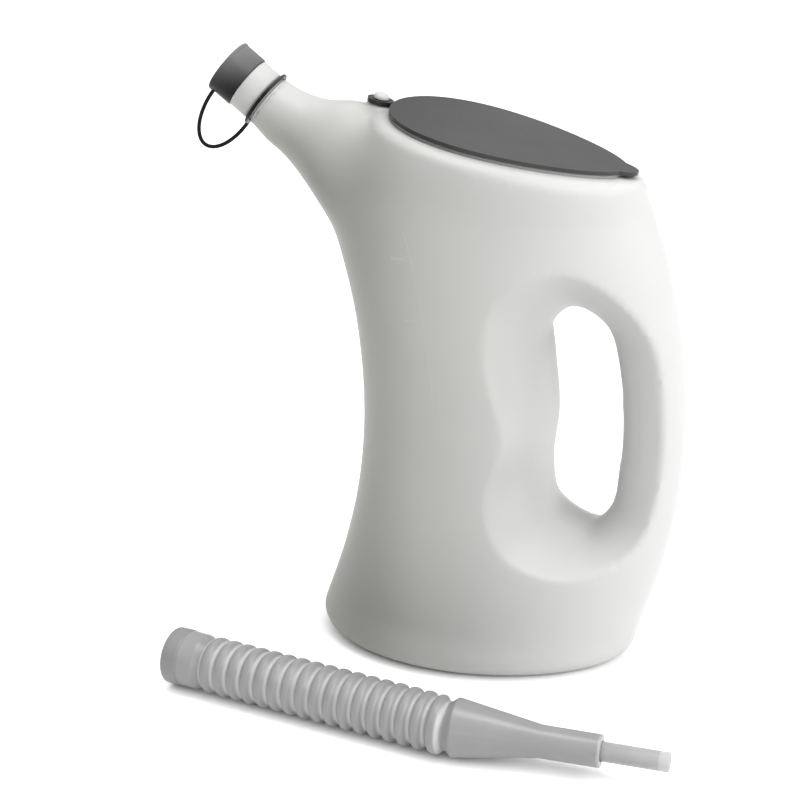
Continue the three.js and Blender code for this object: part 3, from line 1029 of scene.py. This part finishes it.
@dataclass
class Scale:
    """The faint raised measuring line with its strokes, on the -Y side of the body."""

    shell: bpy.types.Object
    finish: bpy.types.Material
    bend_from: float = 128.0
    middle: float = -13.5
    bend: float = 0.00125
    low: float = 60.0
    high: float = 238.0
    width: float = 1.6
    stroke_width: float = 1.4
    stroke: float = 7.0
    stroke_from: float = 3.0
    first_stroke: float = 70.5
    stroke_step: float = 30.8
    strokes: int = 6
    proud: float = 0.015
    sunk: float = 0.02
    depth: float = 0.4
    ahead: float = 90.0  # how far in front of the mid-plane the skin is looked for

    def _line(self, height: float) -> float:
        """Returns the line's x at a height."""
        return self.middle - self.bend * (height - self.bend_from) ** 2

    def _strip(
        self, bm: bmesh.types.BMesh, tree: BVHTree, ends: tuple[Pair, Pair], width: float, parts: int
    ) -> None:
        """Lays one raised strip on the skin.

        Args:
            bm: the mesh it joins.
            tree: the skin.
            ends: the strip's two ends as x and z; x is measured from the line where they differ in x.
            width: its width.
            parts: how many faces long it is.
        """
        (x0, z0), (x1, z1) = ends
        made = bmesh.ops.create_grid(bm, x_segments=parts, y_segments=2, size=0.5)["verts"]
        faces = {face for vertex in made for face in vertex.link_faces}
        for vertex in made:
            share, side = vertex.co.x + 0.5, vertex.co.y
            x, z = x0 + (x1 - x0) * share, z0 + (z1 - z0) * share
            across = Vector((z1 - z0, 0, x0 - x1)).normalized() * (side * width)
            start = Vector((self._line(z) + x, -self.ahead, z)) + across
            hit, normal, _, _ = tree.ray_cast(start * MM, Vector((0, 1, 0)))
            rise = self.proud if abs(side) < 0.1 else -self.sunk
            vertex.co = hit / MM + normal * rise
        bmesh.ops.solidify(bm, geom=list(faces), thickness=self.depth)

    def build(self, fittings: Fittings) -> None:
        """Builds and dresses the scale.

        Args:
            fittings: what dresses the pieces.
        """
        tree = BVHTree.FromObject(self.shell, bpy.context.evaluated_depsgraph_get())
        bm = bmesh.new()
        self._strip(bm, tree, ((0, self.low), (0, self.high)), self.width, 90)
        for index in range(self.strokes):
            height = self.first_stroke + index * self.stroke_step
            ends = ((-self.stroke_from - self.stroke, height), (-self.stroke_from, height))
            self._strip(bm, tree, ends, self.stroke_width, 6)
        bmesh.ops.recalc_face_normals(bm, faces=bm.faces[:])
        piece = place_piece("scale_line", bm)
        fittings.dress(piece, Slot.BODY, "jug")
        piece.data.materials[0] = self.finish


# ---------------------------------------------------------------- lid
@dataclass
class Lid:
    """The flat egg-shaped lid on its pin, with a thumb tab at the handle end."""

    ear_radius: float = 6.6
    eye_radius: float = 2.9
    tab_length: float = 5.6
    tab_root: float = 11.0
    tab_half: float = 10.5
    edge: float = 0.65
    pin_radius: float = 2.5
    pin_length: float = 9.0
    head_radius: float = 3.9
    head_edge: float = 0.6
    dome: float = 3.0
    gap: float = 0.3

    def _slab(self, name: str, place: Place, sides: int) -> bpy.types.Object:
        """Makes a flat slab under the lid's top face.

        Args:
            name: the object's name.
            place: gives its outline in the lid's frame.
            sides: how many edges the outline has.

        Returns:
            The slab.
        """
        bm = bmesh.new()
        outline = ring(bm, sides, place)
        face = bmesh.ops.edgeloop_fill(bm, edges=outline)["faces"]
        below = bmesh.ops.extrude_face_region(bm, geom=face)["geom"]
        points = [item for item in below if isinstance(item, bmesh.types.BMVert)]
        bmesh.ops.translate(bm, vec=(0, 0, -LID_THICKNESS), verts=points)
        bmesh.ops.recalc_face_normals(bm, faces=bm.faces[:])
        return place_piece(name, bm, LID_FRAME)

    def plate(self) -> bpy.types.Object:
        """Returns the lid's plate with its ear and tab, edges rounded."""
        middle = LID_HALF_LENGTH + PIVOT_OFFSET
        end = middle + LID_HALF_LENGTH

        def egg(turn: float) -> Vector:
            """Returns the egg's outline."""
            along, across = egg_point(turn, LID_HALF_LENGTH, LID_HALF_DEPTH, LID_TAPER, 2)
            return Vector((middle + along, across, 0))

        def ear(turn: float) -> Vector:
            """Returns the ear's outline."""
            return Vector((math.cos(turn), math.sin(turn), 0)) * self.ear_radius

        def tab(turn: float) -> Vector:
            """Returns the tab's outline."""
            along, across = egg_point(turn, self.tab_root, self.tab_half, 0.25, 2.2)
            return Vector((end + self.tab_length - self.tab_root + along, across, 0))

        plate = self._slab("lid_plate", egg, 144)
        combine(plate, self._slab("ear_tool", ear, 48), "UNION")
        combine(plate, self._slab("tab_tool", tab, 64), "UNION")
        hole = turned([(-4, 0), (-4, self.eye_radius), (4, self.eye_radius), (4, 0)], 40)
        upright_frame = LID_FRAME @ Matrix.Rotation(math.pi / 2, 4, "Y")
        combine(plate, place_piece("eye_tool", hole, upright_frame), "DIFFERENCE")
        rounding = {"width": self.edge * MM, "segments": 3}
        limits = {"limit_method": "ANGLE", "angle_limit": math.radians(40)}
        settle(plate, ("BEVEL", {**rounding, **limits}))
        shade(plate.data)
        return plate

    def pin(self) -> bpy.types.Object:
        """Returns the pin with its domed head."""
        outline = [(-self.pin_length, 0.0), (-self.pin_length, self.pin_radius)]
        outline += [(self.gap, self.pin_radius), (self.gap, self.head_radius)]
        crown = self.dome - self.head_edge
        steps = 7
        for step in range(steps + 1):
            turn = step / steps * math.pi / 2
            along = self.gap + self.head_edge + crown * math.sin(turn)
            outline.append((along, self.head_radius * math.cos(turn)))
        bm = turned(outline, 40)
        return place_piece("pin_dome", bm, LID_FRAME @ Matrix.Rotation(-math.pi / 2, 4, "Y"))

    def build(self, fittings: Fittings) -> None:
        """Builds and dresses the lid.

        Args:
            fittings: what dresses the pieces.
        """
        fittings.dress(self.plate(), Slot.LID, "lid", ["lid"])
        fittings.dress(self.pin(), Slot.BODY, "jug", ["lid_pivot_pin"])


# ---------------------------------------------------------------- cap and tether
@dataclass
class Cap:
    """The push-on cap of the neck, its ring and the cord between them."""

    radius: float = 14.5
    length: float = 12.8
    wall: float = 1.5
    crown: float = 1.5
    edge: float = 1.0  # how far behind the end the cord leaves the cap
    bead: float = 0.35
    ring_inner: float = 13.3
    ring_outer: float = 15.6
    ring_width: float = 1.6
    ring_at: float = 25.2
    lug_radius: float = 17.4
    lug_half: float = 1.6
    cord_radius: float = 1.0
    cord_drop: float = 24.2
    gap: float = 0.3

    def skirt(self) -> bpy.types.Object:
        """Returns the cap."""
        inside, lip = self.radius - self.wall, 1.2
        outline = [
            (-self.crown, 0),
            (-0.8 * self.crown, 0.6 * self.radius),
            (-0.3 * self.crown, self.radius - 0.5),
            (0.1, self.radius),
            (lip, self.radius),
            (lip + 0.3, self.radius - self.bead),
            (self.length, self.radius - self.bead),
            (self.length, inside),
            (self.wall, inside),
            (self.wall, 0),
        ]
        bm = turned(outline, 72)
        soften(bm, 0.18, 2, 24)
        return place_piece("cap_skirt", bm, NECK_FRAME)

    def ring(self) -> bpy.types.Object:
        """Returns the tether's ring with its lug."""
        half = self.ring_width / 2
        outline = [
            (self.ring_at - half, self.ring_inner),
            (self.ring_at - half, self.ring_outer),
            (self.ring_at + half, self.ring_outer),
            (self.ring_at + half, self.ring_inner),
        ]
        bm = turned(outline, 72)
        soften(bm, 0.6, 3, 24)
        made = place_piece("tether_band", bm, NECK_FRAME)
        lug = bmesh.new()
        bmesh.ops.create_cube(lug, size=1.0)
        reach = self.lug_radius - self.ring_inner - 0.6
        bmesh.ops.scale(lug, vec=(self.ring_width, 2 * self.lug_half, reach), verts=lug.verts[:])
        bmesh.ops.translate(lug, vec=(self.ring_at, 0, -self.lug_radius + reach / 2), verts=lug.verts[:])
        soften(lug, 0.5, 3)
        combine(made, place_piece("lug_tool", lug, NECK_FRAME), "UNION")
        shade(made.data)
        return made

    def cord_route(self) -> Spline:
        """Returns the cord's route from the cap's edge round to the lug."""
        cap_at, steps = self.edge + 0.6, 22
        points = []
        for step in range(steps + 1):
            turn = step / steps * math.pi
            share = (1 - math.cos(turn)) / 2
            along = cap_at + (self.ring_at - cap_at) * share
            start = self.radius + (self.lug_radius - self.radius) * share + self.gap
            points.append(Vector((along, 0, -start - self.cord_drop * math.sin(turn))))
        return Spline(tuple(points))

    def cord(self) -> bpy.types.Object:
        """Returns the cord as a round tube along its route."""
        route, rows, reach = self.cord_route(), 66, 0.9

        def hoop(share: float) -> Place:
            """Returns the placing function of the cord's section at a share of its route."""
            centre, forward = route.at(share), route.along(share)
            side = Vector((0, 1, 0))
            up = forward.cross(side)
            end = min(share, 1 - share)
            if end < 1e-6:
                centre = centre + forward * (reach if share > 0.5 else -reach)
            return lambda turn: centre + (side * math.cos(turn) + up * math.sin(turn)) * self.cord_radius

        bm = loft([hoop(step / rows) for step in range(rows + 1)], 16)
        return place_piece("tether_cord", bm, NECK_FRAME)

    def build(self, fittings: Fittings) -> None:
        """Builds and dresses the cap.

        Args:
            fittings: what dresses the pieces.
        """
        fittings.dress(self.skirt(), Slot.CAP, "cap", ["pour_cap"])
        fittings.dress(self.ring(), Slot.CAP, "tether", ["tether_ring"])
        cord = self.cord()
        fittings.paint(cord, Slot.CAP)
        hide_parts("cap_strap")
        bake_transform(cord)
        seal = frame["nodes"]["cap_seal"]
        seal.data.materials.clear()
        seal.data.materials.append(fittings.finishes[Slot.SEAL])


# ---------------------------------------------------------------- flexible spout
@dataclass
class Spout:
    """The loose spout: collar, seventeen crests, nozzle and tip tube."""

    collar_radius: float = 14.6
    collar_length: float = 21.5
    collar_bore: float = 12.9
    crest: float = 14.4
    valley: float = 11.9
    shallow: float = 0.75
    crest_dome: float = 0.3
    crest_half: float = 0.22  # half the domed top of a crest, as a share of the pitch
    flank: Pair = (0.47, 0.17)  # where a flank starts and ends, as shares of the pitch
    wall: float = 1.4
    segments: tuple[int, ...] = (3, 3, 3, 3, 3, 2)
    cone: float = 41.0
    straight: float = 29.0
    flange: float = 4.6
    nozzle_radius: float = 7.85
    tip_radius: float = 4.7
    tip_bore: float = 3.5
    tip_showing: float = 32.0
    tip_inside: float = 14.0
    tip_painted_light: Pair = (5.2, 4.6)  # where the painted light on the cut end starts, from the end
    samples: int = 16
    steps: int = 64

    def _radius(self, along: float) -> float:
        """Returns the corrugated skin's radius at a distance from the first crest."""
        last = (CREST_COUNT - 0.5) * PITCH
        if along >= last:
            return self.valley + 0.1
        off = abs((along / PITCH + 0.5) % 1.0 - 0.5)
        dome = self.crest_dome * (1 - (min(off, self.crest_half) / self.crest_half) ** 2)
        rise = smoothstep(*self.flank, off)
        valley = self.valley + self.shallow * smoothstep(0.75 * last, 0.0, along)
        return valley + (self.crest - self.crest_dome - valley) * rise + dome * rise

    def bellows(self, name: str, start: float, end: float) -> bpy.types.Object:
        """Makes a length of the corrugated tube.

        Args:
            name: the piece's name.
            start: where it starts, from the first crest.
            end: where it ends.

        Returns:
            The piece.
        """
        count = max(2, round((end - start) / PITCH * self.samples))
        alongs = [start + (end - start) * step / count for step in range(count + 1)]
        outside = [(along, self._radius(along)) for along in alongs]
        inside = [(along, self._radius(along) - self.wall) for along in reversed(alongs)]
        bm = turned(outside + inside, self.steps)
        hinge = (CREST_COUNT - 0.5) * PITCH
        middle = Vector((hinge, 0, 0))
        for vertex in bm.verts:
            turn = NOZZLE_TURN * smoothstep(hinge - PITCH, hinge, vertex.co.x)
            vertex.co = middle + Matrix.Rotation(turn, 3, "Z") @ (vertex.co - middle)
        # painted light along each valley
        mark_painted_light(bm, lambda along: smoothstep(0.3, 0.46, abs((along / PITCH + 0.5) % 1.0 - 0.5)))
        return place_piece(name, bm, SPOUT_FRAME)

    def collar(self) -> bpy.types.Object:
        """Returns the smooth collar that fits over the neck."""
        end = -PITCH / 2
        start = end - 0.15 - self.collar_length
        stop = end - 3
        lip = 8.2
        outline = [
            (start, self.collar_bore),
            (start, self.collar_radius - 0.5),
            (start + 0.8, self.collar_radius),
            (start + lip, self.collar_radius),
            (start + lip + 0.5, self.collar_radius - 0.45),
            (stop - 1.2, self.collar_radius - 0.45),
            (stop, self.collar_radius - 1.0),
            (end - 0.4, self.valley + 0.1),
            (end, self.valley),
            (end, self.valley - self.wall),
            (stop, self.valley - self.wall),
            (stop, self.collar_bore),
        ]
        bm = turned(outline, self.steps)
        soften(bm, 0.25, 2, 24)
        return place_piece("collar_cuff", bm, SPOUT_FRAME)

    def nozzle(self) -> bpy.types.Object:
        """Returns the nozzle's flange, cone and straight end."""
        cone_end = self.flange + self.cone
        end = cone_end + self.straight
        socket = self.tip_radius + 0.3
        socket_from = end - self.tip_inside
        outline = [
            (0.2, self.valley - self.wall),
            (0.2, self.valley - 0.05),
            (0.9, self.valley + 0.1),
            (1.9, self.valley + 0.5),
            (self.flange - 1.6, self.crest - 1.0),
            (self.flange - 0.7, self.crest - 0.2),
            (self.flange, self.crest),
            (self.flange + 0.6, self.crest - 0.1),
            (cone_end, self.nozzle_radius + 0.1),
            (end - 1.7, self.nozzle_radius),
            (end - 0.9, self.nozzle_radius),
            (end, self.nozzle_radius),
            (end, socket),
            (socket_from, socket),
            (socket_from, self.tip_bore),
            (cone_end + 2, self.tip_bore),
            (self.flange + 2, self.crest - 3.4),
        ]
        bm = turned(outline, self.steps)
        soften(bm, 0.3, 2, 24)
        # painted light: a paler ring at the nozzle's cut end
        mark_painted_light(bm, lambda along: 0.45 * smoothstep(end - 1.6, end - 1.0, along))
        return place_piece("nozzle_body", bm, NOZZLE_FRAME)

    def tip(self) -> bpy.types.Object:
        """Returns the tip tube."""
        end = self.flange + self.cone + self.straight
        start, finish = end - self.tip_inside + 0.3, end + self.tip_showing
        outline = [(start, self.tip_bore), (start, self.tip_radius)]
        light_from, light_to = (finish - back for back in self.tip_painted_light)
        outline += [(light_from, self.tip_radius), (light_to, self.tip_radius)]
        outline += [(finish, self.tip_radius), (finish, self.tip_bore), (light_to, self.tip_bore)]
        bm = turned(outline, 40)
        soften(bm, 0.25, 2)
        # painted light: the cut end is paler
        mark_painted_light(bm, lambda along: smoothstep(light_from, light_to, along))
        return place_piece("tip_pipe", bm, NOZZLE_FRAME)

    def build(self, fittings: Fittings) -> None:
        """Builds and dresses the spout.

        Args:
            fittings: what dresses the pieces.
        """
        bodies = ["spout_base", *(f"spout_segment_{n}" for n in range(2, 7)), "spout_nozzle"]
        fittings.dress(self.collar(), Slot.THIN, "spout_base", ["spout_collar"])
        firsts = [0, *itertools.accumulate(self.segments)]
        middles = [(first + (count - 1) / 2) * PITCH for first, count in zip(firsts, self.segments)]
        base = self.bellows("bellows_base", -PITCH / 2, middles[0])
        fittings.dress(base, Slot.THIN, "spout_base", ["bellows_1"])
        ends = [*middles[1:], (CREST_COUNT - 0.5) * PITCH + 0.5]
        for index, (start, end) in enumerate(zip(middles, ends)):
            piece = self.bellows(f"bellows_bend_{index + 1}", start, end)
            fittings.paint(piece, Slot.THIN)
            if index + 2 <= len(self.segments):
                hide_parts(f"bellows_{index + 2}")
            hinge = (firsts[index + 1] - 0.5) * PITCH
            bodies[index + 1]
            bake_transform(piece)
        fittings.dress(self.nozzle(), Slot.THIN, "spout_nozzle", ["nozzle_cone"])
        fittings.dress(self.tip(), Slot.CLEAR, "spout_nozzle", ["tip_tube"])


# ---------------------------------------------------------------- studio
@dataclass
class Lamp:
    """One soft square lamp that faces the object."""

    name: str
    place: tuple[float, float, float]
    side: float
    power: float


@dataclass
class Studio:
    """Pale floor, soft lamps and the camera."""

    azimuth: float = 15.0
    elevation: float = 20.98
    distance: float = 0.8925
    target: tuple[float, float, float] = (-0.04473, 0.0, 0.13134)
    lens: float = 76.5
    sensor: float = 36.0
    floor_side: float = 40.0
    horizon: float = 0.25
    zenith: float = 1.9
    lamps: tuple[Lamp, ...] = (
        Lamp("key", (1.8, -0.8, 1.2), 1.6, 42.0),
        Lamp("strip", (0.1, -0.1, 1.9), 0.7, 13.0),
        Lamp("front", (0.25, -2.2, 0.5), 0.3, 4.0),
    )

    def floor(self) -> None:
        """Lays the floor."""
        bm = bmesh.new()
        bmesh.ops.create_grid(bm, x_segments=8, y_segments=8, size=self.floor_side / 2 / MM)
        floor = place_piece("studio_floor", bm)
        graph = Graph("pale_floor")
        clouds = graph.noise(graph.position(), 3.0)
        colour = graph.mix(clouds, grey(0.86), grey(0.9))
        floor.data.materials.append(graph.finish({"Base Color": colour, "Roughness": 0.9}))

    def light(self) -> None:
        """Sets the lamps and the sky."""
        centre = Vector(self.target)
        for lamp in self.lamps:
            data = bpy.data.lights.new(lamp.name, "AREA")
            data.size, data.energy = lamp.side, lamp.power
            made = bpy.data.objects.new(lamp.name, data)
            made.location = lamp.place
            made.rotation_euler = (centre - Vector(lamp.place)).to_track_quat("-Z", "Y").to_euler()
            bpy.context.scene.collection.objects.link(made)
        world = bpy.data.worlds.new("soft_sky")
        world.use_nodes = True
        sky = Graph.of(world.node_tree)
        height = sky.part(sky.value("ShaderNodeTexCoord", {}, {}, "Generated"), "Z")
        shade = sky.mix(height.ease(-0.1, 1.0), grey(self.horizon), grey(self.zenith))
        back = sky.node("ShaderNodeBackground", {}, {"Color": shade})
        output = sky.node("ShaderNodeOutputWorld", {}, {})
        sky.tree.links.new(back.outputs[0], output.inputs["Surface"])
        bpy.context.scene.world = world
        bpy.context.scene.view_settings.view_transform = "Standard"

    def camera(self) -> None:
        """Sets the camera."""
        turn, rise = math.radians(self.azimuth), math.radians(self.elevation)
        level = math.cos(rise)
        back = Vector((math.sin(turn) * level, -math.cos(turn) * level, math.sin(rise)))
        data = bpy.data.cameras.new("camera")
        data.lens, data.sensor_width = self.lens, self.sensor
        made = bpy.data.objects.new("camera", data)
        made.location = Vector(self.target) + back * self.distance
        made.rotation_euler = (-back).to_track_quat("-Z", "Y").to_euler()
        bpy.context.scene.collection.objects.link(made)
        bpy.context.scene.camera = made

    def build(self) -> None:
        """Builds the whole studio."""
        self.camera()
        self.floor()
        self.light()


def finishes() -> dict[Slot, bpy.types.Material]:
    """Returns the material of each slot."""
    made = {
        Slot.BODY: NaturalPlastic(
            "milky_body", milk(0.28), milk(0.265), 0.42, 0.3, 0.004,
            # painted light towards the handle and painted shade on the spout side
            painted_light_colour=grey(0.4, 0.004), painted_front_shade=(0.184, 0.185, 0.171, 1.0), shine=0.3,
        ),
        Slot.THIN: NaturalPlastic(
            "milky_spout", grey(0.188, -0.003), grey(0.172), 0.34, 0.2, 0.002, 40.0, 0.000006,
            band=SPOUT_FRAME, band_fade=(-15.6, -16.8), band_colour=grey(0.15),
            # painted light along the valleys
            painted_valley_light=grey(0.34), shine=0.45,
        ),
        # painted light on the tip's cut end
        Slot.CLEAR: ClearPlastic("clear_tip", grey(0.42), 0.2, 0.5, cut=grey(0.52)),
        Slot.LID: DarkPlastic(
            "grey_lid", grey(0.03), 0.45, coat=0.2, shine=0.12,
            # painted shade: darker towards the lid's spout end
            painted_shade_colour=grey(0.01), painted_shade_axis="X", fade=(-60.0, 15.0),
        ),
        Slot.CAP: DarkPlastic(
            # painted shade: near black down the cap's lower side
            "grey_cap", grey(0.12), 0.34, shine=0.12, painted_shade_colour=grey(0.002), fade=(290.0, 315.0),
        ),
        Slot.SEAL: NaturalPlastic("seal_foam", grey(0.5), grey(0.45), 0.6, 0.1, 0.001),
    }
    return {slot: finish.make() for slot, finish in made.items()}


def raised_finish() -> bpy.types.Material:
    """Returns the scale line's finish: nearly the body's, with its painted light towards the handle, but no
    light spreads through so slight a ridge.
    """
    finish = NaturalPlastic("milky_scale", milk(0.27), milk(0.26), 0.5, 0.0, 0.001, painted_light_colour=grey(0.42))
    return finish.make()


def main() -> None:
    """Builds the studio and every sub-assembly."""
    logging.basicConfig(level=logging.INFO, format="%(name)s %(message)s")
    Studio().build()
    fittings = Fittings(finishes())
    for assembly in (Jug(), Lid(), Cap(), Spout()):
        assembly.build(fittings)


if __name__ == "__main__":
    main()
